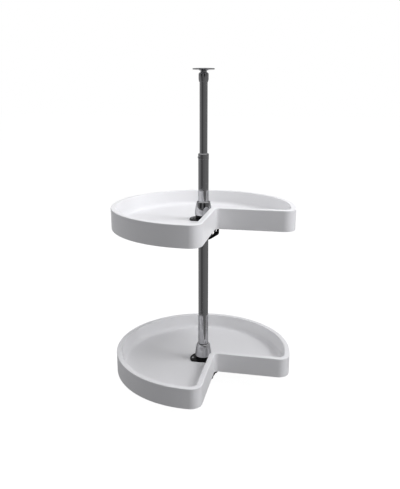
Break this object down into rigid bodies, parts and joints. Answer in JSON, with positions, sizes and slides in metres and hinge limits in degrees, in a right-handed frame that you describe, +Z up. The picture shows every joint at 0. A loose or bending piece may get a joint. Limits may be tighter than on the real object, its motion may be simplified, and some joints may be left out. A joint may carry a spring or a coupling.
{
  "type": "corner carousel cabinet",
  "caption": "Corner cupboard carousel: kidney-shaped lipped trays turn on a telescoping chrome post with plates that screw to the cupboard's floor and top.",
  "frame": {"origin": "on the post's axis, in the underside of the base plate", "axes": "+Z up the post; both trays are stored with their notch towards +X and -Y, its walls along X and Y"},
  "size_m": [0.4572, 0.4572, 0.799],
  "materials": {
    "white_plastic": "satin",
    "black_plastic": "matte",
    "chrome": "polished",
    "plated_steel": "zinc plated",
    "acetal": "natural",
    "brass": "machined"
  },
  "bodies": {
    "post": {"base_plate": "plated_steel", "base_plug": "plated_steel", "base_screw": "plated_steel", "lower_tube": "chrome", "tube_end_cap": "chrome", "clamp_screw": "plated_steel"},
    "upper_post": {"upper_tube": "chrome", "glide_ring": "acetal", "top_cap": "chrome", "top_plate": "chrome", "top_screw": "plated_steel"},
    "lower_carrier": {"lower_collar": "chrome", "lower_set_screws": "plated_steel", "lower_sleeve": "plated_steel", "lower_thrust_washer": "brass"},
    "lower_turntable": {"lower_tray": "white_plastic", "lower_hub_flange": "black_plastic", "lower_hub": "black_plastic", "lower_bush": "acetal", "lower_hub_screws": "plated_steel", "lower_hub_nuts": "plated_steel"},
    "upper_carrier": {"upper_collar": "chrome", "upper_set_screws": "plated_steel", "upper_sleeve": "plated_steel", "upper_thrust_washer": "brass"},
    "upper_turntable": {"upper_tray": "white_plastic", "upper_hub_flange": "black_plastic", "upper_hub": "black_plastic", "upper_bush": "acetal", "upper_hub_screws": "plated_steel", "upper_hub_nuts": "plated_steel"}
  },
  "joints": [
    {"name": "post_extend", "type": "slide", "parent": "post", "child": "upper_post", "axis": [0, 0, 1], "range_m": [-0.1386, 0.0138]},
    {"name": "lower_height", "type": "slide", "parent": "post", "child": "lower_carrier", "axis": [0, 0, 1], "range_m": [0, 0.1]},
    {"name": "lower_spin", "type": "hinge", "parent": "lower_carrier", "child": "lower_turntable", "pos_m": [0, 0, 0.0918], "axis": [0, 0, 1], "continuous": true},
    {"name": "upper_height", "type": "slide", "parent": "post", "child": "upper_carrier", "axis": [0, 0, 1], "range_m": [-0.15, 0.1]},
    {"name": "upper_spin", "type": "hinge", "parent": "upper_carrier", "child": "upper_turntable", "pos_m": [0, 0, 0.4756], "axis": [0, 0, 1], "continuous": true}
  ]
}
